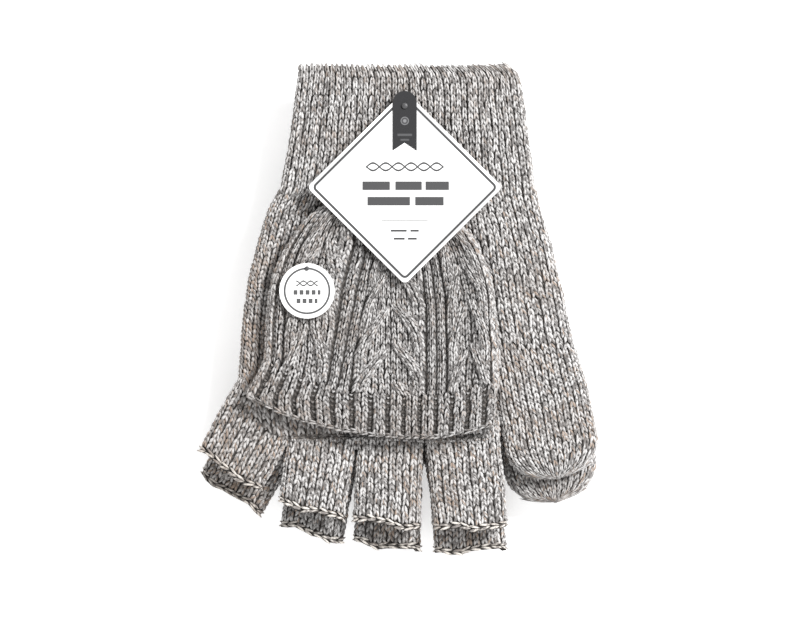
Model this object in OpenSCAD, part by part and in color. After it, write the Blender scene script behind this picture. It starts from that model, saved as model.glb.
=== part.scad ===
// A pair of knitted flip-top mittens, laid flat palm to palm with their swing tags on.
// Fingers point to -Y, cuffs to +Y and both thumbs to +X. The right glove lies on the left one.
// Each glove is drawn once, palm at z = 0 and knuckle line at y = 0, and mirrored for the left.

/* [Knit] */
// Thickness of the plain knit
knit_wall = 1.8; // [1.5:0.1:2.2]
// Thickness of the ribbed knit of the cuff and of the cap's hem
rib_wall = 2.4; // [2.2:0.1:2.8]
// Thickness of the finer knit of the fingers
finger_wall = 1.5; // [1.2:0.1:1.7]
// Room left inside the hand, the thumb and the cuff when they lie flat
hand_room = 4.2; // [4.1:0.1:6]
// Room left inside a finger when it lies flat
finger_room = 1.8; // [1:0.1:2.2]
// Free space between pieces that move past each other
clearance = 0.3; // [0.3:0.05:0.4]

/* [Cuff] */
// Length of the ribbed cuff
cuff_len = 50; // [40:1:70]
// Width of the cuff at its open end
cuff_mouth_w = 89; // [74:1:107]
// Width of the cuff where it meets the hand
cuff_wrist_w = 97; // [90:1:104]
// How far the cuff's middle lies from the cap's middle, towards the thumb
cuff_shift = 12.6; // [8:0.2:16]

/* [Hand] */
// Length of the hand from the knuckle line to the cuff
hand_len = 100; // [96:1:120]
// Width of the straight knuckle line, under the index, middle and ring fingers
knuckle_w = 82; // [81:1:86]
// How far the index side of the knuckle line lies from the cap's middle
index_side_x = 49; // [48:0.5:52]
// How far above the knuckle line the little finger's side of the hand ends
little_side_y = 24.6; // [22:0.2:28]
// How far the hand reaches past the ring finger for the little finger
little_side_w = 21.6; // [20:0.2:24]
// Radius of the outer side of the hand
heel_r = 32; // [28:1:34]

/* [Fingers] */
// Widths of the little, ring, middle and index fingers
finger_w = [29.4, 25.4, 26.6, 29.2]; // [24:0.2:30]
// Lengths of their axes from the hand to the bound-off edge
finger_len = [32.4, 27.5, 32, 34]; // [24:0.5:44]
// How far each axis leans towards the thumb, in degrees
finger_lean = [-26.6, -7.6, -2.5, 5.5]; // [-30:0.1:8]
// Where each axis leaves the hand, across
finger_x = [-43.2, -21.6, 5.1, 34.2]; // [-45:0.1:36]
// Where the little finger's axis leaves the hand, above the knuckle line
little_y = 17.6; // [16:0.2:20]
// Width of the bound-off edge round each finger's end
bind_off = 2.4; // [1.8:0.1:3]
// How far the bound-off edge stands out at the finger's sides
bind_proud = 0.4; // [0.2:0.1:0.6]

/* [Thumb] */
// Radius of the thumb at its root
thumb_root_r = 17.5; // [16:0.5:18.5]
// Radius of the thumb's closed end
thumb_tip_r = 17.2; // [15:0.2:17.4]
// Centre of the thumb's root, across
thumb_x = 61.5; // [60:0.5:64]
// Centre of the thumb's root, above the knuckle line
thumb_y = 39; // [36:0.5:44]
// Distance from the root's centre to the end's centre
thumb_len = 38.6; // [32:0.2:48]
// How far the thumb leans away from the hand at rest, in degrees
thumb_lean = 15; // [12:0.5:18]
// How far the thumb can be splayed from there, in degrees
thumb_splay = 25; // [10:1:30]

/* [Cap] */
// Half the cap's width, and the radius of its round tip
cap_r = 45.5; // [42:0.5:46]
// How far the cap reaches from the knuckle line
cap_len = 100; // [82:1:104]
// How far the cap's middle lies from the knuckle line's reference
cap_x = 1.5; // [0:0.1:3]
// Radius of the hem's curved free edge
hem_curve_r = 95; // [85:1:110]
// Where the hem's free edge reaches furthest, across
hem_low_x = 12; // [8:0.5:16]
// How far short of the knuckle line the hem's free edge stops
hem_short = 0.3; // [0.3:0.1:3]
// Height of the hem's ribbed band
hem_band = 17; // [12:0.5:22]
// Width of the middle plait of the cable panel
plait_w = 20; // [16:0.5:24]
// Width of each of the two side cables
cable_w = 14; // [10:0.5:16]
// Distance from the cap's middle to the middle of each side cable
cable_spread = 27; // [24:0.5:30]
// Diameter of the yarn of the seam that joins the cap to the hand
seam_yarn = 1.8; // [1.6:0.1:2]

/* [Tags] */
// Side of the square swing tag
tag_side = 55; // [46:1:66]
// Corner radius of the swing tag
tag_corner_r = 2; // [1.5:0.5:6]
// Thickness of the card of both tags
card_t = 0.5; // [0.4:0.1:0.8]
// Width of the ribbon on the swing tag
ribbon_w = 9.6; // [8:0.2:12]
// Length of the ribbon
ribbon_len = 24; // [20:0.5:30]
// Thickness of the ribbon
ribbon_t = 0.4; // [0.3:0.1:0.6]
// Depth of the notch in the ribbon's lower end
ribbon_notch = 3.2; // [2:0.2:4]
// Distance from the ribbon's round top to the pin
ribbon_pin_y = 6; // [5:0.2:8]
// How far the swing tag's pin lies from the cap's reference, towards the thumb
tag_x = 10.9; // [8:0.1:14]
// How far the pin stands from the cuff's mouth
pin_from_mouth = 16.6; // [14:0.2:20]
// How far the swing tag is tipped so that it lies on both the cap and the cuff, in degrees
tag_tip = 5; // [4:0.5:7]
// Radius of the round tag
round_tag_r = 11; // [9:0.5:13]
// Distance from the round tag's centre to its hole
round_tag_hole = 8.9; // [7:0.1:11]
// Centre of the round tag, across
round_tag_x = -28; // [-30:0.5:-20]
// Centre of the round tag, above the knuckle line
round_tag_y = 59.6; // [56:0.2:66]
// Diameter of the tag pins' filament
filament_d = 0.9; // [0.7:0.1:1.2]
// Diameter of the tag pins' heads
pin_head_d = 3; // [2.4:0.1:4]
// Thickness of the tag pins' heads
pin_head_t = 0.7; // [0.5:0.1:1]
// Length of the bar at the foot of each tag pin
pin_bar_len = 7; // [5:0.5:9]

/* [Pair] */
// How far the left glove sticks out past the right one, towards the fingers
pair_offset = 10; // [4:0.5:14]

/* [Hidden] */
$fn = 64;
far = 400; // larger than any cut needs to be
fine = 0.01;
FINGERS = ["little", "ring", "middle", "index"];
PIECES = ["hand", "little_finger", "ring_finger", "middle_finger", "index_finger",
    "little_edge", "ring_edge", "middle_edge", "index_edge", "thumb",
    "cap_seam", "cap_back", "cap_side", "cap_cable_panel", "cap_hem"];

// Levels of one glove, from the palm up
hand_t = 2 * knit_wall + hand_room;
cuff_t = 2 * rib_wall + hand_room;
finger_t = 2 * finger_wall + finger_room;
finger_z = hand_t - finger_t / 2;
cap_back_z = hand_t + clearance;
hinge_z = cap_back_z + knit_wall / 2;
cap_room = finger_t + 2 * clearance; // the cap closes over the fingers with this inside
cap_side_z = cap_back_z + knit_wall;
cap_front_z = cap_side_z + cap_room;
cap_top_z = cap_front_z + rib_wall;
pair_gap = card_t + pin_head_t + clearance; // both caps can be closed with the round tag on

// Plan of one glove
cap_tip_y = cap_len - cap_r;
cap_root_y = seam_yarn / 2 + clearance;
hem_centre = [hem_low_x, hem_curve_r + hem_short];
side_start_y = hem_band + 8;
mouth_y = hand_len + cuff_len;
pin_y = mouth_y - pin_from_mouth;
pin_hole_r = filament_d / 2 + clearance;
tag_z = cap_top_z + clearance; // underside of the swing tag over the cap's tip
tag_rest_y = cap_len + 4; // the tipped tag crosses that level just past the cap's tip
tag_pin_z = tag_z - (pin_y - tag_rest_y) * sin(tag_tip);
thumb_dir = [sin(thumb_lean), -cos(thumb_lean)];
thumb_end = [thumb_x, thumb_y] + thumb_len * thumb_dir;
little_corner = [index_side_x - knuckle_w, 0];
little_side = little_corner + [-little_side_w, little_side_y];
finger_y = [little_y, 0, 0, 0];

// The pair's box on the table gives the frame's origin
function finger_corner(i, side) =
    [finger_x[i], finger_y[i]]
    + (finger_len[i] + bind_off) * [sin(finger_lean[i]), -cos(finger_lean[i])]
    + side * (finger_w[i] / 2 + bind_proud) * [cos(finger_lean[i]), sin(finger_lean[i])];
x_low = finger_corner(0, -1)[0];
x_high = thumb_end[0] + thumb_tip_r;
y_low = min([for (i = [0:3], side = [-1, 1]) finger_corner(i, side)[1]]) - pair_offset;
centre_x = (x_low + x_high) / 2;
centre_y = (y_low + mouth_y) / 2;
pair_z = cap_top_z + pair_gap / 2; // height of the plane between the two palms

// Places a right glove's piece, or its mirror image under it for the left glove
module as_right() {
    translate([-centre_x, -centre_y, pair_z + pair_gap / 2]) children();
}
module as_left() {
    translate([-centre_x, -centre_y - pair_offset, pair_z - pair_gap / 2])
        mirror([0, 0, 1]) children();
}

module slab(z, t) {
    translate([0, 0, z]) linear_extrude(t) children();
}

module cuff_plan(inset = 0, past = 0) {
    polygon([
        [cuff_shift - cuff_wrist_w / 2 + inset, hand_len - past],
        [cuff_shift + cuff_wrist_w / 2 - inset, hand_len - past],
        [cuff_shift + cuff_mouth_w / 2 - inset, mouth_y + past],
        [cuff_shift - cuff_mouth_w / 2 + inset, mouth_y + past]
    ]);
}

// Ribbed tube, open to the wrist and into the hand, with holes for the swing tag's pin
module cuff(pin_at) {
    color("gray") difference() {
        slab(0, cuff_t) cuff_plan();
        slab(rib_wall, hand_room) cuff_plan(rib_wall, 1);
        translate([tag_x, pin_at, -1]) cylinder(h = cuff_t + 2, r = pin_hole_r);
    }
}

module thumb_plan(inset = 0) {
    hull() {
        translate([thumb_x, thumb_y]) circle(thumb_root_r - inset);
        translate(thumb_end) circle(thumb_tip_r - inset);
    }
}

// The plan that the thumb sweeps over, with clearance round it
module thumb_sweep() {
    for (turn = [0:5:thumb_splay])
        translate([thumb_x, thumb_y]) rotate(turn) translate([-thumb_x, -thumb_y])
            thumb_plan(-clearance);
}

module hand_plan(inset = 0) {
    hull() {
        translate([cuff_shift - cuff_wrist_w / 2 + inset, hand_len - 1])
            square([cuff_wrist_w - 2 * inset, 1]);
        translate([heel_r - (little_side_w + knuckle_w - index_side_x) + inset, hand_len / 2])
            circle(heel_r);
        polygon([
            little_corner + [inset, inset],
            little_side + [inset, inset / 2],
            [index_side_x - inset, thumb_y - thumb_root_r],
            [index_side_x - inset, inset]
        ]);
    }
    hull() {
        translate([cuff_shift, hand_len - 1]) square([cuff_wrist_w / 2 - inset, 1]);
        translate([cuff_shift, thumb_y]) square(1);
        translate([thumb_x, thumb_y]) circle(thumb_root_r - inset);
    }
}

// Where the thumb's room opens into the hand's room
module thumb_door() {
    door_w = thumb_root_r;
    translate([thumb_x - thumb_root_r - 3 * knit_wall, thumb_y - door_w / 2])
        square([thumb_root_r, door_w]);
}

// Palm and back of the hand, open to the cuff, to the four fingers and to the thumb
module hand() {
    color("silver") difference() {
        slab(0, hand_t) difference() {
            hand_plan();
            thumb_sweep();
        }
        slab(knit_wall, hand_room) {
            difference() {
                hand_plan(knit_wall);
                translate([thumb_x, thumb_y]) circle(thumb_root_r + clearance + knit_wall);
                translate([index_side_x - knit_wall, 0]) square([far, thumb_y]);
            }
            translate([cuff_shift - cuff_wrist_w / 2 + rib_wall, hand_len - 2])
                square([cuff_wrist_w - 2 * rib_wall, 3]);
            thumb_door();
        }
        for (i = [0:3]) finger_path(i, 6) finger_section(finger_w[i] - 2 * finger_wall, finger_room);
    }
}

// A flattened tube's section: straight in the middle and round at both sides
module finger_section(w, t) {
    square([w - t, t], center = true);
    for (side = [-1, 1]) translate([side * (w - t) / 2, 0]) circle(d = t);
}

// Runs a section along finger i's axis, from back inside the hand to the given length
module finger_path(i, back, len = 0, start = 0) {
    translate([finger_x[i], finger_y[i], finger_z]) rotate([90, 0, finger_lean[i]])
        translate([0, 0, start - back]) linear_extrude(back + len) children();
}

// Everything on the hand's side of finger i's root
module hand_side(i) {
    corner_turn = atan2(little_side[1] - little_corner[1], little_side[0] - little_corner[0]);
    if (i == 0)
        translate(little_corner) rotate(corner_turn) translate([-far / 2, -far, -far / 2])
            cube([far, far, far]);
    else
        translate([-far / 2, 0, -far / 2]) cube([far, far, far]);
}

// One fingerless finger: an open tube that starts flush with the hand
module finger(i) {
    color("darkgray") difference() {
        finger_path(i, 16, finger_len[i]) finger_section(finger_w[i], finger_t);
        finger_path(i, 16 + 1, finger_len[i] + 1)
            finger_section(finger_w[i] - 2 * finger_wall, finger_room);
        hand_side(i);
    }
}

// The bound-off edge round a finger's end
module finger_edge(i) {
    color("lightgray") difference() {
        finger_path(i, 0, bind_off, finger_len[i])
            finger_section(finger_w[i] + 2 * bind_proud, finger_t);
        finger_path(i, 1, bind_off + 1, finger_len[i])
            finger_section(finger_w[i] - 2 * finger_wall, finger_room);
    }
}

// Closed thumb, open only where its root meets the hand's room
module thumb() {
    color("silver") difference() {
        slab(0, hand_t) thumb_plan();
        slab(knit_wall, hand_room) {
            thumb_plan(knit_wall);
            thumb_door();
        }
    }
}

// Row of whip stitches along the knuckle line, on which the cap turns
module cap_seam() {
    seam_len = 2 * (cap_r - knit_wall);
    foot = seam_yarn / 2;
    color("dimgray") {
        translate([cap_x - seam_len / 2, 0, hinge_z]) rotate([0, 90, 0])
            cylinder(h = seam_len, d = seam_yarn);
        translate([cap_x - seam_len / 2, 0, hand_t])
            cube([min(seam_len, index_side_x - cap_x + seam_len / 2), foot, hinge_z - hand_t]);
    }
}

// Round-tipped plan of the cap
module cap_plan(inset = 0, root = 0) {
    translate([cap_x, cap_tip_y]) intersection() {
        circle(cap_r - inset);
        translate([-far / 2, -fine]) square([far, far]);
    }
    translate([cap_x - cap_r + inset, root]) square([2 * (cap_r - inset), cap_tip_y - root]);
}

// The layer that is sewn to the hand, and covers the backs of the fingers when the cap is closed
module cap_back() {
    color("gray") slab(cap_back_z, knit_wall) cap_plan(0, cap_root_y);
}

// The knitted band that joins the cap's two layers round its sides and tip
module cap_side() {
    color("darkgray") slab(cap_side_z, cap_room) difference() {
        cap_plan(0, side_start_y);
        cap_plan(knit_wall, side_start_y - 1);
    }
}

// Plan of the front layer beyond the hem's free edge, moved up by the given distance
module front_plan(up) {
    intersection() {
        cap_plan(0, hem_short);
        translate(hem_centre + [0, up]) union() {
            circle(hem_curve_r, $fn = 160);
            translate([-far / 2, 0]) square([far, far]);
        }
    }
}

// The palm-side layer, with a plait between two cables standing out of the plain knit
module cap_cable_panel(tagged) {
    cable_run = cap_tip_y - hem_band;
    color("silver") difference() {
        union() {
            slab(cap_front_z, knit_wall) front_plan(hem_band);
            for (cable = [[0, plait_w], [-cable_spread, cable_w], [cable_spread, cable_w]])
                translate([cap_x + cable[0] - cable[1] / 2, hem_band + 12, cap_front_z])
                    cube([cable[1], cable_run, rib_wall]);
        }
        if (tagged) translate([round_tag_x, round_tag_y + round_tag_hole, cap_front_z - 1])
            cylinder(h = rib_wall + 2, r = pin_hole_r);
    }
}

// Ribbed band at the cap's mouth, which slips over the fingertips
module cap_hem() {
    color("gray") slab(cap_front_z, rib_wall) difference() {
        front_plan(0);
        front_plan(hem_band);
    }
}

// The square card, turned onto its corner, with a hole for the pin
module swing_tag_card() {
    half = tag_side / 2 - tag_corner_r;
    diagonal = tag_side / sqrt(2) - tag_corner_r * (sqrt(2) - 1);
    below_pin = diagonal - (ribbon_pin_y - 0.6);
    color("white") on_tag_plane() difference() {
        translate([0, -below_pin, 0]) rotate(45) union() {
            for (x = [-half, half], y = [-half, half])
                translate([x, y, 0]) cylinder(h = card_t, r = tag_corner_r);
            translate([-half, -tag_side / 2, 0]) cube([2 * half, tag_side, card_t]);
            translate([-tag_side / 2, -half, 0]) cube([tag_side, 2 * half, card_t]);
        }
        translate([0, 0, -1]) cylinder(h = card_t + 2, r = pin_hole_r);
    }
}

// Ribbon with a round top and a notched lower end, glued to the card
module swing_tag_ribbon() {
    color([0.18, 0.18, 0.18]) on_tag_plane() translate([0, 0, card_t]) difference() {
        union() {
            translate([0, ribbon_pin_y - ribbon_w / 2, 0]) cylinder(h = ribbon_t, d = ribbon_w);
            translate([-ribbon_w / 2, ribbon_pin_y - ribbon_len, 0])
                cube([ribbon_w, ribbon_len - ribbon_w / 2, ribbon_t]);
        }
        translate([0, 0, -1]) cylinder(h = ribbon_t + 2, r = pin_hole_r);
        translate([0, ribbon_pin_y - ribbon_len, -1]) linear_extrude(ribbon_t + 2)
            polygon([[-ribbon_w / 2 - 1, -1], [0, ribbon_notch], [ribbon_w / 2 + 1, -1]]);
    }
}

// The tag's own plane, with the pin at its origin
module on_tag_plane() {
    translate([tag_x, pin_y, tag_pin_z]) rotate([-tag_tip, 0, 0]) children();
}

// Head, filament and foot bar of a tag pin, from the foot's level up to the head's
module tag_pin(foot_z, head_z) {
    color("whitesmoke") {
        translate([0, 0, head_z]) cylinder(h = pin_head_t, d = pin_head_d);
        translate([0, 0, foot_z]) cylinder(h = head_z - foot_z + pin_head_t / 2, d = filament_d);
        translate([-pin_bar_len / 2, 0, foot_z]) rotate([0, 90, 0])
            cylinder(h = pin_bar_len, d = filament_d);
    }
}

// Runs through the tag and both cuffs, and the right glove turns on it
module swing_tag_pin() {
    slack = 3 * clearance;
    translate([tag_x, pin_y, 0])
        tag_pin(-pair_gap - cuff_t - filament_d / 2 - slack, tag_pin_z + card_t + ribbon_t + slack);
}

module round_tag_card() {
    color("white") translate([round_tag_x, round_tag_y, cap_top_z + clearance]) difference() {
        cylinder(h = card_t, r = round_tag_r);
        translate([0, round_tag_hole, -1]) cylinder(h = card_t + 2, r = pin_hole_r);
    }
}

// Runs through the round tag and the cap's front layer, into the cap's room
module round_tag_pin() {
    translate([round_tag_x, round_tag_y + round_tag_hole, 0])
        tag_pin(cap_front_z - filament_d / 2, cap_top_z + card_t + 2 * clearance);
}

module piece(name, right) {
    if (name == "hand") hand();
    if (name == "thumb") thumb();
    if (name == "cap_seam") cap_seam();
    if (name == "cap_back") cap_back();
    if (name == "cap_side") cap_side();
    if (name == "cap_cable_panel") cap_cable_panel(right);
    if (name == "cap_hem") cap_hem();
    for (i = [0:3]) {
        if (name == str(FINGERS[i], "_finger")) finger(i);
        if (name == str(FINGERS[i], "_edge")) finger_edge(i);
    }
}

for (name = PIECES) {
    as_right() piece(name, true);
    as_left() piece(name, false);
}
as_right() cuff(pin_y);  // right_cuff
as_left() cuff(pin_y + pair_offset);  // left_cuff
as_right() swing_tag_card();
as_right() swing_tag_ribbon();
as_right() swing_tag_pin();
as_right() round_tag_card();
as_right() round_tag_pin();
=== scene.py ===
import math

import bmesh
import bpy
import numpy as np
from mathutils import Matrix, Vector


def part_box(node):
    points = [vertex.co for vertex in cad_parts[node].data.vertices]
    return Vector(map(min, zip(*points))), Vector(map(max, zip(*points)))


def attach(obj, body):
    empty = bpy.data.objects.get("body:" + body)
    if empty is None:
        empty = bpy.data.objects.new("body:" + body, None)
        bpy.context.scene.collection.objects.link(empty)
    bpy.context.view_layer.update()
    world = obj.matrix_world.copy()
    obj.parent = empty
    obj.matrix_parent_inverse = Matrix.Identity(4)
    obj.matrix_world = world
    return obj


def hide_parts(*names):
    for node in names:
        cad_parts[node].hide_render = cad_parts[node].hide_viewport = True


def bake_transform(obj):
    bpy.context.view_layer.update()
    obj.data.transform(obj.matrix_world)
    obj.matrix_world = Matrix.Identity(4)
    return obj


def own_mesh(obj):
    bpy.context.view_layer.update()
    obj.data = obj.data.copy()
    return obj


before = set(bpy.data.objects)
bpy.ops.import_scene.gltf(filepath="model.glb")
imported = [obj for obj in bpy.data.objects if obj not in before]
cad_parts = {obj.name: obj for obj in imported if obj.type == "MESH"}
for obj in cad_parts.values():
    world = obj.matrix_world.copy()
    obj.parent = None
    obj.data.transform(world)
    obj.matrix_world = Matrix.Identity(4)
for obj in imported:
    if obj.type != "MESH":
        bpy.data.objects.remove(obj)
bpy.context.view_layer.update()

rng = np.random.default_rng(7)
print("frame loaded")

# Lengths are in mm, in a right glove's own frame: palm at z = 0, knuckle line at y = 0,
# cuff towards +y, thumb towards +x. Each piece's sizes stand in a dictionary above its code.
cuffLow, cuffHigh = (v * 1000 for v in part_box("right_cuff"))
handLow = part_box("right_hand")[0] * 1000
pair = dict(x=(cuffLow.x + cuffHigh.x) / 2 - 12.6, y=cuffHigh.y - 150, rightZ=handLow.z,
            leftY=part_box("left_cuff")[1].y * 1000 - 150, leftZ=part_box("left_hand")[1].z * 1000)
stitch = dict(wale=2.9, course=2.25, lift=0.36, radius=0.64)

# Camera, first: straight above the pair
view = dict(x=9, y=52, height=1.232, lens=135)
camData = bpy.data.cameras.new("camera")
camera = bpy.data.objects.new("camera", camData)
bpy.context.scene.collection.objects.link(camera)
camData.lens = view["lens"]
camData.clip_end = 20
camera.location = ((view["x"] + pair["x"]) / 1000, (view["y"] + pair["y"]) / 1000, view["height"])
bpy.context.scene.camera = camera


# Shader maths: a wrapped socket with operators
class Sock:
    def __init__(self, tree, out):
        self.tree, self.out = tree, out

    def node(self, kind, ins=(), pick=0, **props):
        n = self.tree.nodes.new(kind)
        for k, v in props.items():
            setattr(n, k, v)
        for key, v in ins.items() if isinstance(ins, dict) else enumerate(ins):
            if isinstance(v, Sock):
                self.tree.links.new(v.out, n.inputs[key])
            else:
                n.inputs[key].default_value = v
        return Sock(self.tree, n.outputs[pick])

    def math(self, op, *others):
        return self.node("ShaderNodeMath", [self, *others], operation=op)

    def __add__(self, o): return self.math("ADD", o)
    def __radd__(self, o): return self.math("ADD", o)
    def __mul__(self, o): return self.math("MULTIPLY", o)
    def __rmul__(self, o): return self.math("MULTIPLY", o)
    def __sub__(self, o): return self.math("SUBTRACT", o)
    def __rsub__(self, o): return self.math("MULTIPLY", -1.0) + o
    def __truediv__(self, o): return self.math("DIVIDE", o)
    def __lt__(self, o): return self.math("LESS_THAN", o)
    def abs(self): return self.math("ABSOLUTE")
    def fract(self): return self.math("FRACT")
    def floor(self): return self.math("FLOOR")
    def lower(self, o): return self.math("MINIMUM", o)
    def upper(self, o): return self.math("MAXIMUM", o)

    def step(self, a, b):
        return self.node("ShaderNodeMapRange", {"Value": self, "From Min": a, "From Max": b},
                         interpolation_type="SMOOTHSTEP")

    def mix(self, a, b):
        n = self.tree.nodes.new("ShaderNodeMix")
        n.data_type = "RGBA"
        self.tree.links.new(self.out, n.inputs["Factor"])
        for key, v in (("A", a), ("B", b)):
            i = [s for s in n.inputs if s.name == key and s.type == "RGBA"][0]
            if isinstance(v, Sock):
                self.tree.links.new(v.out, i)
            else:
                i.default_value = (*v, 1)
        return Sock(self.tree, [s for s in n.outputs if s.type == "RGBA"][0])


def material(name, rough, **consts):
    m = bpy.data.materials.new(name)
    m.use_nodes = True
    bsdf = m.node_tree.nodes["Principled BSDF"]
    bsdf.inputs["Roughness"].default_value = rough
    for k, v in consts.items():
        bsdf.inputs[k.replace("_", " ")].default_value = v
    return m, bsdf, Sock(m.node_tree, None)


def join(m, bsdf, key, sock):
    m.node_tree.links.new(sock.out, bsdf.inputs[key])


def coords(start):
    # the place on the object, and its x and y in mm
    c = start.node("ShaderNodeTexCoord", pick="Object")
    s = start.node("ShaderNodeSeparateXYZ", [c])
    return c, *(Sock(start.tree, s.out.node.outputs[k]) * 1000 for k in "XY")


# Yarn colours. Each leg of a stitch has its own tile of the UV map, atlas tiles to a side
yarn = dict(light=(0.60, 0.588, 0.58), mid=(0.37, 0.358, 0.35), dark=(0.165, 0.155, 0.15),
            warm=(0.34, 0.26, 0.205), gap=(0.045, 0.041, 0.038), atlas=64, tileHigh=1.25)
marl = dict(patchScale=38.0, speckScale=780.0, fibreScale=2600.0, brownFrom=34, brownTo=52)


def yarnMaterial(name, light, mid, dark, warmth):
    m, bsdf, s = material(name, 0.93, Specular_IOR_Level=0.18, Sheen_Weight=0.12, Sheen_Roughness=0.6)
    uv = s.node("ShaderNodeUVMap", uv_map="OFBake")
    xy = s.node("ShaderNodeSeparateXYZ", [uv])
    u, v = (Sock(s.tree, xy.out.node.outputs[k]) * yarn["atlas"] for k in "XY")
    a, b = u.fract(), v.fract() * yarn["tileHigh"]
    tile = u.floor() + v.floor() * yarn["atlas"]
    run = tile + a
    # three twisted plies, each with its own colour along the yarn
    turn = (b * 2 + a * 1.1 + tile * 0.37).fract()
    ply = (turn * 3).floor()
    groove = ((turn * 3).fract() - 0.5).abs() * 2

    def noise(w, scale, detail=1.0):
        return s.node("ShaderNodeTexNoise", {"W": w, "Scale": scale, "Detail": detail},
                      noise_dimensions="1D")

    def spots(scale, detail=1.0):
        return s.node("ShaderNodeTexNoise", {"Vector": pos, "Scale": scale, "Detail": detail})

    tone = noise(run + ply * 613.0, 0.95, 2.0)
    hue = noise(run * 0.6 + ply * 211.0, 0.33)
    pos, x, y = coords(s)
    speck = spots(marl["speckScale"])
    pick = tone * 1.1 + (noise(tile, 3.1, 0.0) - 0.5) * 0.45 + (speck - 0.5) * 0.75 - 0.05
    c = pick.step(0.36, 0.52).mix(dark, mid)
    c = pick.step(0.50, 0.64).mix(c, light)
    # browner in patches, the yarn's own colour, and browner and darker towards the little finger's side, painted
    # shade
    patch = spots(marl["patchScale"])
    side = (pair["x"] - x).step(marl["brownFrom"], marl["brownTo"])
    brownAndShade = (patch.step(0.45, 0.62) * 0.5 + side * 0.6).lower(1.0)
    c = (hue.step(0.66 - brownAndShade * 0.16, 0.74 - brownAndShade * 0.12) * warmth).mix(c, yarn["warm"])
    # painted shade: darker towards the little finger's side; in the patches the darkening is the yarn's own colour
    c = (brownAndShade * 0.3).mix(c, tuple(k * 0.6 for k in yarn["warm"]))
    fibre = spots(marl["fibreScale"], 2.0)
    # darker where the plies meet, painted shade, and in dark fibres, the yarn's own colour
    c = ((groove.step(0.72, 1.0) * 0.35 + fibre.step(0.55, 0.75) * 0.3) * 0.9).mix(c, dark)
    c = (fibre.step(0.32, 0.2) * 0.45).mix(c, light)
    # painted shade: yarn that lies deep is darkened, as if little light reached it
    sunk = s.node("ShaderNodeAttribute", pick="Fac", attribute_name="sunk")
    c = (sunk * 0.9).mix(c, tuple(k * 0.35 for k in dark))
    join(m, bsdf, "Base Color", c)
    bump = s.node("ShaderNodeBump", {"Strength": 0.55, "Distance": 0.0002,
                                     "Height": fibre * 0.6 + (1 - groove.step(0.5, 1.0)) * 0.8})
    join(m, bsdf, "Normal", bump)
    return m


def gapShadeMaterial():
    m, bsdf, s = material("knitGap", 1.0, Specular_IOR_Level=0.05)
    pos, x, y = coords(s)
    n = s.node("ShaderNodeTexNoise", {"Vector": pos, "Scale": 900.0, "Detail": 2.0})
    # the back of the stitches, row on row
    across = (x * (2 * math.pi / stitch["wale"])).math("SINE")
    loops = (y * (2 * math.pi / stitch["course"]) + across * 1.4).math("SINE")
    tone = n * 0.7 + loops.step(-0.6, 0.9) * 0.5
    # painted shade: the cloth seen between the stitches is near black, standing in for the shade there
    join(m, bsdf, "Base Color", tone.step(0.3, 0.95).mix(yarn["gap"], tuple(k * 2.4 for k in yarn["gap"])))
    join(m, bsdf, "Normal", s.node("ShaderNodeBump", {"Strength": 0.8, "Distance": 0.0004, "Height": tone}))
    return m


def shade(part):
    return [tuple(part * k for k in yarn[t]) for t in ("light", "mid", "dark")]


mats = dict(
    knit=yarnMaterial("knit", *shade(1), 0.95),
    rib=yarnMaterial("ribbedKnit", *shade(1), 0.5),
    # the hem and the cables take darker copies of the same yarn: painted shade
    hem=yarnMaterial("hemKnit", *shade(0.82), 0.45),
    cable=yarnMaterial("cableKnit", *shade(0.9), 0.45),
    edge=yarnMaterial("edgeKnit", (0.74, 0.70, 0.65), (0.50, 0.47, 0.43), (0.22, 0.2, 0.19), 0.3),
    # sewing yarn near black, so that the seam reads as a shadow line under the hem: painted shade
    seam=yarnMaterial("sewingYarn", (0.2, 0.19, 0.18), (0.09, 0.085, 0.08), (0.03, 0.03, 0.03), 0.3),
    # a darker copy of the yarn for the hem's grooves: painted shade
    deep=yarnMaterial("grooveKnit", (0.24, 0.23, 0.225), (0.14, 0.133, 0.128), (0.055, 0.052, 0.05), 0.3),
    gap=gapShadeMaterial())
print("knit materials ready")


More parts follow.
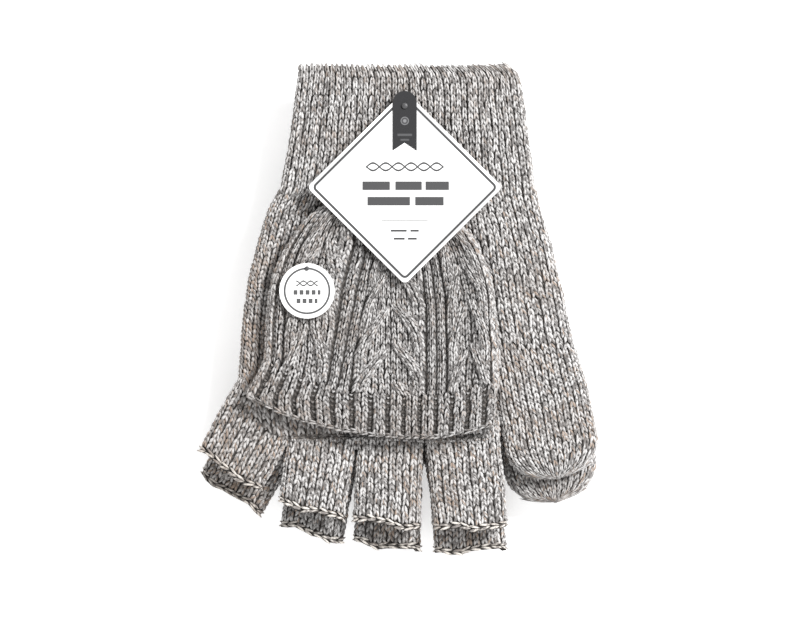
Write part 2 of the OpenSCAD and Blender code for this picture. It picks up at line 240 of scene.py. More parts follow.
# One leg of yarn: a small sphere drawn out along a bent path, in a stitch cell's own coordinates.
# u runs across the wale, v along it away from the cuff, and h out of the fabric in mm.
def leg(path, wide, tall, around=6, rings=5):
    bm = bmesh.new()
    bmesh.ops.create_uvsphere(bm, u_segments=around, v_segments=rings, radius=1)
    bmesh.ops.rotate(bm, verts=bm.verts, matrix=Matrix.Rotation(math.pi / around, 3, "Z"))
    bm.verts.index_update()
    pts = np.array([v.co for v in bm.verts])
    # how far along the leg each vertex is, where round it, and how far from its middle line
    s = np.arcsin(np.clip(pts[:, 2], -1, 1)) / math.pi + 0.5
    ang = np.arctan2(pts[:, 1], pts[:, 0]) / (2 * math.pi) + 0.5
    flat = np.hypot(pts[:, 0], pts[:, 1])
    c = np.array([path(t) for t in s])
    d = np.array([np.subtract(path(t + 0.02), path(t - 0.02)) for t in s])
    d[:, 2] = 0
    d *= [stitch["wale"], stitch["course"], 1]
    d /= np.linalg.norm(d, axis=1)[:, None]
    side = np.stack([d[:, 1] / stitch["wale"], -d[:, 0] / stitch["course"], d[:, 2] * 0], 1)
    grow = (flat ** 0.8)[:, None]
    turn = ((ang - 0.5) * 2 * math.pi)[:, None]
    out = c + side * np.cos(turn) * grow * wide
    out[:, 2] += (np.sin(turn) * grow * tall)[:, 0]
    faces, uvs = [], []
    for f in bm.faces:
        idx = [v.index for v in f.verts]
        angs = [ang[i] for i in idx if flat[i] > 1e-6]
        wrap = max(angs) - min(angs) > 0.5
        near = np.mean([g + (wrap and g < 0.5) for g in angs])
        faces.append(idx)
        for i in idx:
            at = near if flat[i] < 1e-6 else ang[i] + (wrap and ang[i] < 0.5)
            uvs.append((0.06 + 0.88 * s[i], 0.04 + at * 0.92 / yarn["tileHigh"]))
    bm.free()
    return out, faces, np.array(uvs)


def arch(t):
    return math.sin(math.pi * min(max(t, 0), 1))


def knitPath(sign):
    return lambda t: (0.5 + sign * (0.07 + 0.32 * max(t, 0) ** 1.15), -0.5 + 1.62 * t,
                      stitch["lift"] * (1.5 * arch(t * 0.92 + 0.06) - 0.62))


def purlPath(t):
    return -0.12 + 1.24 * t, 0.32 + 0.42 * arch(t), -0.25 + 0.45 * math.sin(math.pi * t)


def chainPath(sign):
    return lambda t: (-0.25 + 1.2 * t, 0.5 + sign * (0.42 - 0.34 * t), 0.25 + 0.45 * arch(t))


def bothLegs(path, *size):
    return [leg(path(1), *size), leg(path(-1), *size)]


wide, tall = stitch["radius"], stitch["radius"] * 0.88
shapes = dict(
    fine=bothLegs(knitPath, wide, tall),
    mid=bothLegs(knitPath, wide, tall, 6, 4),
    coarse=bothLegs(knitPath, wide * 1.1, tall, 4, 3),
    purl=[leg(purlPath, wide * 0.9, tall * 0.9, 5, 4)],
    chain=bothLegs(chainPath, wide * 0.7, tall * 0.8, 6, 5))


# Surfaces are grids of points, rows from the cuff towards the fingertips, with a normal at each
def normals(p):
    du, dv = np.gradient(p, axis=1), np.gradient(p, axis=0)
    n = -np.cross(du, dv)
    return n / np.maximum(np.linalg.norm(n, axis=2), 1e-9)[..., None]


waves = rng.normal(size=(6, 3)) * [0.05, 0.05, 0.02], rng.uniform(0, 6.3, (6, 3)), rng.normal(size=(6, 3))


def uneven(p, size=0.3):
    # slow waves, so that no surface is quite even
    k, ph, amp = waves
    t = p @ k.T
    off = sum(np.sin(t[..., i, None] * (1 + i * 0.7) + ph[i]) * amp[i] for i in range(6))
    return p + off * size / 2.2


# The two tags. The square one hangs from its corner, tipped by the cap under it
cards = dict(side=55.0, corner=2.0, thick=0.5, hole=5.4, pinX=10.9, pinY=133.4, tip=5.0, slope=0.0875, capY=104,
             capZ=18.0, roundR=11.0, roundX=-28.0, roundY=59.6, roundZ=18.9, roundHole=8.9)
press = dict(roundZ=16.75, rise=0.45, restZ=17.0, swingZ=14.35, middle=33.5, reach=41, turns=range(-55, 60, 5))


def underTags(p):
    # the highest that the cap's yarn may lie: the round tag presses it down
    x, y = p[..., 0], p[..., 1]
    far = np.hypot(x - cards["roundX"], y - cards["roundY"]) - cards["roundR"]
    limit = np.minimum(press["roundZ"] + np.clip(far - 0.8, 0, 9) * press["rise"],
                       press["restZ"] - (y - cards["capY"]) * cards["slope"])
    # and it stays clear of the square one wherever that swings
    x, y = x - cards["pinX"], y - cards["pinY"]
    for turn in np.radians(press["turns"]):
        down, across = x * np.sin(turn) - y * np.cos(turn), x * np.cos(turn) + y * np.sin(turn)
        under = np.abs(down - press["middle"]) + np.abs(across) < press["reach"]
        limit = np.where(under, np.minimum(limit, press["swingZ"] + cards["slope"] * down), limit)
    return limit


def grid(p, shape="fine", lift=None, loose=0.3, pressed=False, layer=0):
    p = uneven(np.asarray(p, float), loose)
    n = normals(p)
    lift = np.zeros(p.shape[:2]) if lift is None else np.broadcast_to(lift, p.shape[:2])
    p = p + n * lift[..., None]
    if pressed:
        p[..., 2] = np.minimum(p[..., 2], underTags(p))
    return dict(p=p, n=n, lift=lift, shape=shape, layer=layer)


def cells(g):
    # each stitch cell's four corners, with their normals and lifts
    def corners(a):
        return np.stack([a[:-1, :-1], a[:-1, 1:], a[1:, :-1], a[1:, 1:]], 2).reshape(-1, 4, a.shape[2])
    return corners(g["p"]), corners(g["n"]), corners(g["lift"][..., None])[..., 0]


def build(name, grids, place, mat, shell, sink, thick=0.9):
    # a stitch laid into every cell of the grids, over a thin shell of cloth
    cos, faceIdx, faceLen, uvs, matIdx, depths, legs, base = [], [], [], [], [], [], 0, 0
    for g in grids:
        cp, cn, cd = cells(g)
        n = len(cp)
        jit = rng.normal(0, [0.06, 0.08, 0.07], (n, 1, 3))
        for j, (tv, tf, tuv) in enumerate(shapes[g["shape"]]):
            u, v, h = (tv[:, axis][None] + jit[..., axis] for axis in range(3))
            w = np.stack([(1 - u) * (1 - v), u * (1 - v), (1 - u) * v, u * v], -1)
            co = w @ cp + (w @ cn) * h[..., None]
            depths.append(((w @ cd[..., None])[..., 0] + h).ravel())
            ids = legs + np.arange(n) * len(shapes[g["shape"]]) + j
            flatF = np.concatenate(tf)
            faceIdx.append((base + np.arange(n)[:, None] * len(tv) + flatF[None]).ravel())
            faceLen.append(np.tile([len(f) for f in tf], n))
            matIdx.append(np.full(n * len(tf), g["layer"]))
            cell = np.stack([ids % yarn["atlas"], ids // yarn["atlas"] % yarn["atlas"]], 1)
            uvs.append(((cell[:, None] + tuv[None]) / yarn["atlas"]).reshape(-1, 2))
            cos.append(co.reshape(-1, 3))
            base += n * len(tv)
        legs += n * len(shapes[g["shape"]])
    co, idx, ln, uv = (np.concatenate(part) for part in (cos, faceIdx, faceLen, uvs))
    me = bpy.data.meshes.new(name)
    me.vertices.add(len(co))
    me.loops.add(len(idx))
    me.polygons.add(len(ln))
    me.vertices.foreach_set("co", place(co).ravel())
    me.loops.foreach_set("vertex_index", idx.astype(np.int32))
    me.polygons.foreach_set("loop_start", np.concatenate([[0], np.cumsum(ln)[:-1]]).astype(np.int32))
    me.polygons.foreach_set("loop_total", ln.astype(np.int32))
    me.polygons.foreach_set("material_index", np.concatenate(matIdx).astype(np.int32))
    # painted shade: a factor for how far each vertex lies below the cloth, which darkens that yarn in the material
    sunk = np.clip((-0.2 - np.concatenate(depths)) / 1.5, 0, 1)
    me.attributes.new("sunk", "FLOAT", "POINT").data.foreach_set("value", sunk.astype(np.float32))
    layer = me.uv_layers.new(name="OFBake")
    layer.data.foreach_set("uv", uv.ravel())
    me.update(calc_edges=True)
    me.validate()
    bm = bmesh.new()
    bm.from_mesh(me)
    for p in shell:
        addShell(bm, p, place, sink, thick)
    bmesh.ops.recalc_face_normals(bm, faces=bm.faces)
    for f in bm.faces:
        f.smooth = True
    bm.to_mesh(me)
    bm.free()
    me.materials.append(mats[mat])
    me.materials.append(mats["gap"])
    # slot 2 is the darker groove yarn, painted shade
    if any(g["layer"] for g in grids):
        me.materials.append(mats["deep"])
    ob = bpy.data.objects.new(name, me)
    bpy.context.scene.collection.objects.link(ob)
    return ob


def addShell(bm, p, place, sink, thick):
    # the cloth under the stitches: a grid draped to the surface's points, given a thickness
    p = p - normals(p) * sink
    rows, cols = p.shape[:2]
    part = bmesh.new()
    bmesh.ops.create_grid(part, x_segments=cols - 1, y_segments=rows - 1, size=0.5)
    part.verts.ensure_lookup_table()
    world = place(p.reshape(-1, 3))
    for v, c in zip(part.verts, world):
        v.co = c
    if np.abs(p[:, 0] - p[:, -1]).max() < 0.05:
        bmesh.ops.remove_doubles(part, verts=part.verts, dist=1e-5)
    bmesh.ops.recalc_face_normals(part, faces=part.faces)
    # its faces point out of the fabric
    mid = (rows // 2) * cols + cols // 2
    out = Vector(place((p + normals(p)).reshape(-1, 3))[mid] - world[mid])
    near = min(part.faces, key=lambda f: (f.calc_center_median() - Vector(world[mid])).length)
    if near.normal.dot(out) < 0:
        bmesh.ops.reverse_faces(part, faces=part.faces)
    bmesh.ops.solidify(part, geom=part.faces[:], thickness=thick / 1000)
    tmp = bpy.data.meshes.new("part")
    part.to_mesh(tmp)
    part.free()
    first = len(bm.faces)
    bm.from_mesh(tmp)
    bpy.data.meshes.remove(tmp)
    bm.faces.ensure_lookup_table()
    # the shell takes the near black gap material, painted shade between the stitches
    for f in bm.faces[first:]:
        f.material_index = 1


def placeRight(p):
    return (p + [pair["x"], pair["y"], pair["rightZ"]]) / 1000


def placeLeft(p):
    return (p * [1, 1, -1] + [pair["x"], pair["leftY"], pair["leftZ"]]) / 1000


# The outline of the cuff and hand: how far out each side lies at each distance from the knuckles
leftEdge = [(150, -32.0), (132, -34.0), (116, -36.2), (100, -39.6), (92, -43.6), (80, -47.8), (64, -52.0),
            (48, -54.4), (28, -56.0), (0, -56.0)]
rightEdge = [(150, 57.2), (132, 59.4), (116, 61.4), (100, 63.4), (92, 64.8), (80, 69.2), (64, 73.2),
             (48, 76.2), (36, 78.6), (0, 84.0)]


def along(table, y):
    ys = [p[0] for p in table][::-1]
    return np.interp(y, ys, [p[1] for p in table][::-1])


# A flattened tube's section: d runs from its left extreme over the top, or under it
def section(x0, x1, z, r, d, side=1, dome=0.7):
    x0, x1, d = np.broadcast_arrays(x0, x1, d)
    r = np.broadcast_to(r, d.shape)
    q = r * math.pi / 2
    flatLen = x1 - x0 - 2 * r
    a0 = np.clip(d / q, 0, 1) * math.pi / 2
    a1 = np.clip((d - q - flatLen) / q, 0, 1) * math.pi / 2
    x = x0 + r - r * np.cos(a0) + np.clip(d - q, 0, flatLen) + r * np.sin(a1)
    bulge = dome * np.sin(np.clip(d / (2 * q + flatLen), 0, 1) * math.pi)
    h = np.where(d < q + flatLen, r * np.sin(a0), r * np.cos(a1)) + bulge
    return x, z + side * h


def spans(x0, x1, r):
    return x1 - x0 - 2 * r + math.pi * r


def tubeOf(over, under):
    # one closed sleeve from its two faces
    tube = uneven(np.concatenate([over[:, :-1], under], 1))
    tube[:, -1] = tube[:, 0]
    return tube


cuff = dict(top=150.0, bottom=98.5, courses=21, ribs=14, ridge=0.3, groove=0.85, z=4.7, r=3.9, corner=4.5, cornerY=7)


def cuffParts(place, side):
    y = np.linspace(cuff["top"], cuff["bottom"], cuff["courses"] + 1)[:, None]
    x0, x1 = along(leftEdge, y), along(rightEdge, y)
    # the mouth's corner is round
    x1 = x1 - cuff["corner"] * np.clip((y - cuff["top"]) / cuff["cornerY"] + 1, 0, 1) ** 2.5
    wales = cuff["ribs"] * 3

    def surface(steps, face):
        f = np.linspace(0, 1, steps + 1)[None]
        x, z = section(x0, x1, cuff["z"], cuff["r"], f * spans(x0, x1, cuff["r"]), face)
        return np.stack([x, np.broadcast_to(y, x.shape), z], -1)[:, ::face]
    # every third wale sinks between the ribs
    lift = np.where(np.arange(wales + 1) % 3 == 0, -cuff["groove"], cuff["ridge"])
    out = [grid(surface(wales, face), "mid", lift[::face]) for face in (1, -1)]
    return build(side + "_cuff_rib", out, place, "rib", [tubeOf(surface(40, 1), surface(40, -1))], sink=1.1)


hand = dict(z=4.25, r=3.45, top=100, crotch=36.0, bodyWales=32, thumbWales=12, courses=45, left=-54, knuckle=44.5,
            indexEdge=48.6)


def handEnd(x):
    # the knuckle line, which slopes back over the little finger
    return np.where(x < -33, (-33 - x) * (24.6 / 21.6), 0.0)


def handSurface(f, t, face, gusset):
    # f: 0..1 over the part's wales. t: 0 at the cuff .. 1 at the part's last course
    f, t = np.broadcast_arrays(f, t)
    end = hand["crotch"] if gusset else handEnd(hand["left"] + f * (hand["knuckle"] - hand["left"]))
    y = hand["top"] - t * (hand["top"] - end)
    x0, x1 = along(leftEdge, y), along(rightEdge, y)
    split = hand["knuckle"] - 9 * np.clip((y - hand["crotch"]) / (hand["top"] - hand["crotch"]), 0, 1)
    dSplit = math.pi * hand["r"] / 2 + split - (x0 + hand["r"])
    d = dSplit + f * (spans(x0, x1, hand["r"]) - dSplit) if gusset else f * dSplit
    x, z = section(x0, np.maximum(x1, x0 + 20), hand["z"], hand["r"], d, face)
    return np.stack([x, y, z], -1)


def handParts(place, side, backShape, palmShape):
    made = []
    n, m = hand["bodyWales"], hand["thumbWales"]
    for face, label, shape in ((1, "back", backShape), (-1, "palm", palmShape)):
        t = np.linspace(0, 1, hand["courses"] + 1)[:, None]
        body = handSurface(np.linspace(0, 1, n + 1)[None], t, face, False)
        gusset = handSurface(np.linspace(0, 1, m + 1)[None], np.linspace(0, 1, 29)[:, None], face, True)
        # the index finger's side of the hand, from the thumb's crotch down
        y = np.linspace(hand["crotch"], 0, 17)[:, None]
        d = math.pi / 2 * np.linspace(0, 1, 3)[None]
        x = hand["indexEdge"] - hand["r"] + hand["r"] * np.sin(d) + 0 * y
        z = hand["z"] + face * (hand["r"] * np.cos(d) + 0.35) + 0 * y
        surfaces = [s[:, ::face] for s in (body, gusset, np.stack([x, y + 0 * x, z], -1))]
        if face < 0:
            # the knuckle end is closed between the fingers
            over, below = handSurface(np.linspace(0, 1, n + 1)[None], t[-1:], 1, False), body[-1:]
            surfaces.append(np.concatenate([over, (over + below) / 2 - [0, 0.8, 0], below]))
        lifts = []
        for s in surfaces:
            # the cloth sinks where the cap lies on it, and the yarn material darkens the sunk yarn there as painted
            # shade
            near = np.hypot(s[..., 0] - cap["x"], np.maximum(s[..., 1] - cap["shoulder"], 0)) - cap["half"]
            lifts.append(-1.1 * np.exp(-((near - 0.6) / 2.4) ** 2) * (face > 0) * (s[..., 1] > 12))
        made.append(build(f"{side}_hand_{label}", [grid(s, shape, v) for s, v in zip(surfaces, lifts)], place,
                          "knit", [uneven(s) + normals(s) * v[..., None] for s, v in zip(surfaces, lifts)],
                          sink=0.5))
    return made


# x and y are the middle of each finger's root, back is how far it reaches into the hand
fingers = dict(
    little=dict(x=-43.2, y=17.6, width=29.4, length=34.8, lean=-28.4, back=5, slope=1.3),
    ring=dict(x=-22.3, y=0, width=27.2, length=29.9, lean=-9.0, back=4, slope=1.6),
    middle=dict(x=5.1, y=0, width=26.6, length=34.4, lean=-2.5, back=4, slope=1.5),
    index=dict(x=34.2, y=0, width=29.2, length=36.4, lean=5.5, back=4, slope=0.6))
fingerTube = dict(z=5.5, r=1.8, dome=0.25, edge=2.2, rimFrom=2.5, rimPast=0.1)


def fingerParts(place, side, name):
    f = fingers[name]
    lean = math.radians(f["lean"])
    axis, across = np.array([math.sin(lean), -math.cos(lean)]), np.array([math.cos(lean), math.sin(lean)])
    r, half, end = fingerTube["r"], f["width"] / 2, f["length"] - fingerTube["edge"]
    wales = int(round(spans(-half, half, r) / stitch["wale"]))
    courses = int(round((end + f["back"]) / stitch["course"]))
    ph = rng.uniform(0, 6.3, 3)

    def surface(s, steps, face):
        # s: how far along the finger each row of points is
        wide = half * (1 + 0.02 * np.sin(s / 9 + ph[0]))
        k = np.linspace(0, 1, steps + 1)[None]
        x, z = section(-wide, wide, fingerTube["z"], r, k * spans(-wide, wide, r), face, fingerTube["dome"])
        # the courses grow wavier and more sloped towards the open end
        wave = (0.75 * np.sin(x / half * 3.6 + ph[1]) + 0.35 * np.sin(x / half * 8 + ph[2])
                + f["slope"] * x / half) * np.clip((s - 6) / (f["length"] - 8), 0, 1.1)
        q = np.array([f["x"], f["y"]]) + (s + wave)[..., None] * axis + x[..., None] * across
        return np.concatenate([q, z[..., None]], -1)[:, ::face]

    s = np.linspace(-f["back"], end, courses + 1)[:, None]
    over, under = surface(s, wales, 1), surface(s, wales, -1)
    sleeve = build(f"{side}_{name}_finger_knit", [grid(over), grid(under)], place, "knit",
                   [tubeOf(over, under)], sink=0.45)
    s = np.array([[f["length"] - fingerTube["rimFrom"]], [f["length"] + fingerTube["rimPast"]]])
    over, under = surface(s, int(wales * 0.8), 1), surface(s, int(wales * 0.8), -1)
    edge = build(f"{side}_{name}_edge_chain", [grid(over, "chain"), grid(under, "chain")], place, "edge",
                 [tubeOf(over, under)], sink=0.3)
    return sleeve, edge


thumb = dict(x=62.0, out=10.6, bend=1.2, top=36.0, tip=-15.4, courses=24, wales=15, half=17.2, swell=1.4, lean=11,
             closing=0.70)


def thumbPart(place, side):
    t = np.linspace(0, 1, thumb["courses"] + 1)[:, None]
    centre = np.stack([thumb["x"] + thumb["out"] * t + thumb["bend"] * t * (1 - t),
                       thumb["top"] + (thumb["tip"] - thumb["top"]) * t], -1)
    # the tip closes over the last courses
    close = np.clip((t - thumb["closing"]) / (1 - thumb["closing"]), 0, 1)
    half = (thumb["half"] + thumb["swell"] * np.sin(t * 2.2)) * np.sqrt(np.maximum(1 - close ** 2.3, 0.0004))
    lean = np.radians(thumb["lean"]) * np.clip(t * 3, 0, 1)
    r = np.minimum(hand["r"] * np.maximum(1 - close ** 4, 0.12), half)

    def surface(face):
        k = np.linspace(0, 1, thumb["wales"] + 1)[None]
        x, z = section(-half, half, hand["z"], r, k * spans(-half, half, r), face)
        q = centre + x[..., None] * np.stack([np.cos(lean), np.sin(lean)], -1)
        return np.concatenate([q, z[..., None]], -1)[:, ::face]

    over, under = surface(1), surface(-1)
    return build(side + "_thumb_knit", [grid(over), grid(under)], place, "knit", [tubeOf(over, under)], sink=0.5)


# The cap: a flattened pouch with its own section, wider than the fingers. Its hem is an arc
cap = dict(x=1.5, half=45.5, tip=99.6, shoulder=54.5, z=12.3, r=4.2, spread=14.0,
           hemBand=16.5, hemX=12.0, hemY=95.3, hemR=95.0)


def hemY(x):
    return cap["hemY"] - np.sqrt(cap["hemR"] ** 2 - (x - cap["hemX"]) ** 2)


def capHalf(y):
    over = np.clip((y - cap["shoulder"]) / (cap["tip"] + 0.4 - cap["shoulder"]), 0, 1)
    return cap["half"] * np.sqrt(np.maximum(1 - over ** 2, 0.0004)) * (1 + 0.03 * np.sin(y / 17))


def capSurface(a, t, face, y0, y1=None):
    # a: place across from -1 to 1 over the whole face, t: 0 at the tip .. 1 at the lower edge
    a, t = np.broadcast_arrays(a, t)
    low = y0(cap["x"] + a * cap["half"]) if callable(y0) else y0
    high = cap["tip"] if y1 is None else y1(cap["x"] + a * cap["half"])
    y = high + (low - high) * t
    half = capHalf(y)
    r = cap["r"] * np.clip(np.sqrt(np.maximum(1 - np.clip((y - 84) / 16, 0, 1) ** 2, 0)), 0.12, 1)
    r = np.minimum(r, half)
    # the lower left corner spreads over the little finger
    half = half + cap["spread"] * np.clip((34 - y) / 24, 0, 0.7) ** 1.5 * (a < 0)
    x, z = section(-half, half, cap["z"], r, (a + 1) / 2 * spans(-half, half, r), face, 0.3 if face > 0 else 0.0)
    return np.stack([x + cap["x"], y, z], -1)


sideShare = 0.052  # of the width, at each side, for the side piece
span = 97.0  # the front's width along its surface
# across the front from the left: how wide each band is, how many wales it has, and its cable's strands
bands = [dict(wide=4.66, wales=2), dict(wide=19.2, wales=8, turn=17.0, phase=0.75, strand=4.6, high=1.5),
         dict(wide=4.2, wales=2), dict(wide=4.2, wales=2),
         dict(wide=28.8, wales=12, turn=16.0, phase=0.1, strand=5.4, high=1.5),
         dict(wide=4.1, wales=2), dict(wide=4.1, wales=2),
         dict(wide=17.66, wales=7, turn=17.0, phase=0.3, strand=4.2, high=1.4)]


def drift(at, y):
    # the ribs left of the middle lean in towards the tip, as the pouch is folded over
    return at + 8.5 * np.clip((y - 34) / 44, 0, 1) * np.exp(-((at + 13) / 11) ** 2)


def panelLow(x):
    return hemY(x) + cap["hemBand"]


def strand(band, left, half, start):
    # one raised strand of a cable, from the band's middle out to its side and down
    mid, reach, w = left + band["wide"] / 2, band["wide"] / 2 - band["strand"] * 0.55, band["strand"]
    floorY = panelLow(cap["x"] + mid + half * reach) + 0.6
    y1, y0 = min(start, cap["tip"] - 3), max(start - 1.7 * band["turn"], floorY)
    count = int(round((y1 - y0) / 1.95))
    if count < 3:
        return None
    y = np.linspace(y1, y0, count + 1)[:, None]
    v = (start - y) / band["turn"]
    go = np.clip(v / 1.05, 0, 1)
    pos = w * 0.5 + (reach - w * 0.5) * go ** 1.25 * (2.1 - 1.1 * go)
    high = band["high"] * (1.5 * np.sin(math.pi * np.clip((v + 0.12) / 1.7, 0, 1)) - 0.35)
    at = drift(mid + half * pos + np.array([[-0.5, 0.0, 0.5]]) * w, y) * 2 / span
    t = np.clip((cap["tip"] - y) / (cap["tip"] - panelLow(cap["x"] + at * cap["half"])), 0, 1)
    return grid(capSurface(at, t, 1, panelLow), "fine", high + np.array([[-0.8, 0.45, -0.8]]), pressed=True)


def capFront(place, side):
    t = np.linspace(0, 1, 37)[:, None]
    out = []
    left = -span / 2 * (1 - sideShare * 2)
    for band in bands:
        # the ground sinks into a groove on each side of a rib or cable, and the yarn material darkens sunk yarn as
        # painted shade
        n = band["wales"]
        at = left + band["wide"] * np.linspace(0.015, 0.985, n + 1)
        edge = np.minimum(np.arange(n + 1), n - np.arange(n + 1))
        lift = np.where(edge == 0, -2.1, np.where(edge == 1, 0.6 if n < 4 else -0.5, -0.45))
        # the middle of a cable band sinks too, so the painted shade darkens it
        if n > 4:
            lift = lift - 0.9 * (np.abs(at - left - band["wide"] / 2) < 1.4)
        p = capSurface(drift(at[None], cap["tip"] + (24 - cap["tip"]) * t) * 2 / span, t, 1, panelLow)
        out.append(grid(p, "mid", lift, pressed=True))
        if "turn" in band:
            starts = [(half, cap["tip"] + (band["phase"] - k + 0.08 * half) * band["turn"])
                      for half in (-1, 1) for k in range(7)]
            out += filter(None, (strand(band, left, half, start) for half, start in starts))
        left += band["wide"]
    base = capSurface(np.linspace(-1 + 2 * sideShare, 1 - 2 * sideShare, 41)[None], t, 1, panelLow)
    return build(side + "_cap_cables", out, place, "cable", [uneven(base)], sink=1.7, thick=0.3)


hem = dict(ribs=15, courses=8, groove=0.77, wide=0.985, flare=0.35)


def capHem(place, side):
    t = np.linspace(0, 1, hem["courses"] + 1)[:, None]
    out = []

    def band(a, t, low, high):
        return capSurface(a * hem["wide"], t, 1, lambda x: hemY(x) + low, lambda x: hemY(x) + high)
    low, high = 0.8, cap["hemBand"] + 0.6
    flare = hem["flare"] * np.sin(t * math.pi / 2)
    # each rib is two wales and a purl groove; below its first two courses the groove takes the darker groove yarn,
    # painted shade
    wales = dict(marks=(0, hem["groove"] / 2, hem["groove"]), shape="mid", rise=(-0.35, 0.8, -0.35),
                 layers=[(slice(None), 0)])
    groove = dict(marks=(hem["groove"], 1), shape="purl", rise=(-1.3, -1.3),
                  layers=[(slice(0, 3), 0), (slice(2, None), 2)])
    for k in range(hem["ribs"]):
        for part in (wales, groove):
            p = band((np.array([part["marks"]]) + k) / hem["ribs"] * 2 - 1, t, low, high)
            lift = np.array([part["rise"]]) * np.clip(0.25 + t * 3, 0, 1) + flare
            for rows, layer in part["layers"]:
                out.append(grid(p[rows], part["shape"], lift[rows], pressed=True, layer=layer))
    out.append(grid(band(np.linspace(-1, 1, 34)[None], np.array([[0.0], [1.0]]), 0.2, 2.2), "chain", 0.1))
    base = band(np.linspace(-1, 1, 41)[None], t, low, high)
    return build(side + "_cap_hem_rib", out, place, "hem", [uneven(base)], sink=0.9, thick=0.6)


def capSide(place, side):
    # round the pouch's side and tip, from one layer to the other
    t = np.linspace(0, 1, 35)[:, None]
    out = []
    for s in (-1, 1):
        a = np.linspace(1 - 2 * sideShare, 1, 3)[None]
        top = capSurface(s * a, t, 1, 20.0)
        under = capSurface(s * a[:, ::-1], t, -1, 20.0)
        out.append(np.concatenate([top[:, :-1], under], 1)[:, ::s])
    return build(side + "_cap_side_knit", [grid(p, "mid") for p in out], place, "knit",
                 [uneven(p[1:]) for p in out], sink=0.5)


def capBack(place, side):
    def roots(x):
        return 1.6 + handEnd(x)
    t = np.linspace(0, 1, 42)[:, None]
    p = capSurface(np.linspace(-1 + 2 * sideShare, 1 - 2 * sideShare, 31)[None], t, -1, roots)[:, ::-1]
    # the side that shows below the hem, inside the pouch
    t = np.linspace(0, 1, 12)[:, None]
    inner = capSurface(np.linspace(-0.9, 0.9, 31)[None], t, -1, roots, lambda x: 32 + 0 * x) + [0, 0, 0.7]
    return build(side + "_cap_back_knit", [grid(p, "mid"), grid(inner)], place, "knit", [uneven(p)],
                 sink=0.3, thick=0.3)


seam = dict(left=-34, right=44.5, stitches=30, back=2.4, front=0.4, top=8.6, under=8.1)


def capSeam(place, side):
    x = np.linspace(seam["left"], seam["right"], seam["stitches"] + 1)[None]
    y = np.array([[seam["back"]], [seam["front"]]])
    top, under = (np.stack(np.broadcast_arrays(x, y, z), -1) for z in (seam["top"], seam["under"]))
    return build(side + "_cap_whipstitch", [grid(top, "chain", loose=0.1), grid(under[:, ::-1], "chain", loose=0.1)],
                 place, "seam", [top - [0, 0, 0.3]], sink=0.1, thick=0.5)


def hold(ob, body, node):
    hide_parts(node)
    if body:
        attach(ob, body)


# The hidden sides have stitches with fewer faces
for side, place, backShape in (("right", placeRight, "fine"), ("left", placeLeft, "coarse")):
    glove, capBody = side + "_glove", side + "_cap"
    hold(cuffParts(place, side), glove, side + "_cuff")
    for ob in handParts(place, side, backShape, "coarse"):
        hold(ob, glove, side + "_hand")
    for name in fingers:
        sleeve, edge = fingerParts(place, side, name)
        for ob, node, slotName in ((sleeve, "finger", "knit"), (edge, "edge", "edge_knit")):
            hold(ob, glove, f"{side}_{name}_{node}")
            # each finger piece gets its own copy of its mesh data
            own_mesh(ob)
    ob = thumbPart(place, side)
    hold(ob, None, side + "_thumb")
    low, high = place(np.array([[62, 44.0, 4], [66, 12.0, 4]]))
    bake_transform(ob)
    hold(capSeam(place, side), glove, side + "_cap_seam")
    hold(capBack(place, side), capBody, side + "_cap_back")
    hold(capSide(place, side), capBody, side + "_cap_side")
    hold(capFront(place, side), capBody, side + "_cap_cable_panel")
    hold(capHem(place, side), capBody, side + "_cap_hem")
    print(side, "glove knitted")


# Tags
def seat(x, y, z):
    return Matrix.Translation(placeRight(np.array([x, y, z])))


def finishPiece(bm, name, mat, matrix, smooth=True):
    bmesh.ops.transform(bm, matrix=matrix, verts=bm.verts)
    bmesh.ops.recalc_face_normals(bm, faces=bm.faces)
    me = bpy.data.meshes.new(name)
    bm.to_mesh(me)
    bm.free()
    for p in me.polygons:
        p.use_smooth = smooth
    me.materials.append(mat)
    ob = bpy.data.objects.new(name, me)
    bpy.context.scene.collection.objects.link(ob)
    return ob


def plate(outline, thick, rim=0.06):
    # a flat sheet from an outline in mm, with a softly rounded rim
    bm = bmesh.new()
    face = bm.faces.new([bm.verts.new((x, y, 0)) for x, y in outline])
    up = bmesh.ops.extrude_face_region(bm, geom=[face])["geom"]
    bmesh.ops.translate(bm, vec=(0, 0, thick), verts=[v for v in up if isinstance(v, bmesh.types.BMVert)])
    bmesh.ops.recalc_face_normals(bm, faces=bm.faces)
    sharp = [e for e in bm.edges if len(e.link_faces) == 2 and e.calc_face_angle(0) > 1.2
             and abs(e.verts[0].co.z - e.verts[1].co.z) < 1e-6]
    bmesh.ops.bevel(bm, geom=sharp, offset=rim, segments=2, affect="EDGES", profile=0.5, material=-1)
    bmesh.ops.scale(bm, vec=(0.001,) * 3, verts=bm.verts)
    return bm


tip = math.radians(cards["tip"])
tag = seat(cards["pinX"], cards["pinY"], cards["capZ"] - (cards["pinY"] - cards["capY"]) * math.sin(tip)) \
    @ Matrix.Rotation(-tip, 4, "X")
cardCentre = -(cards["side"] / math.sqrt(2) - cards["corner"] * (math.sqrt(2) - 1) - cards["hole"])


def cardOutline(n=10):
    # a square with round corners, standing on one of them
    r, h = cards["corner"], cards["side"] / 2 - cards["corner"]
    pts = []
    for k, (sx, sy) in enumerate(((1, 1), (-1, 1), (-1, -1), (1, -1))):
        for j in range(n + 1):
            a = math.pi / 2 * (k + j / n)
            pts.append((sx * h + r * math.cos(a), sy * h + r * math.sin(a)))
    half = math.sqrt(0.5)
    return [((x - y) * half, (x + y) * half + cardCentre) for x, y in pts]


def inside(d, soft):
    # ink where d is below zero, with a soft rim
    return 1 - d.step(-soft, soft)


def bar(x, y, cx, cy, wide, high, soft=0.1):
    return inside((x - cx).abs() - wide / 2, 0.1) * inside((y - cy).abs() - high / 2, soft)


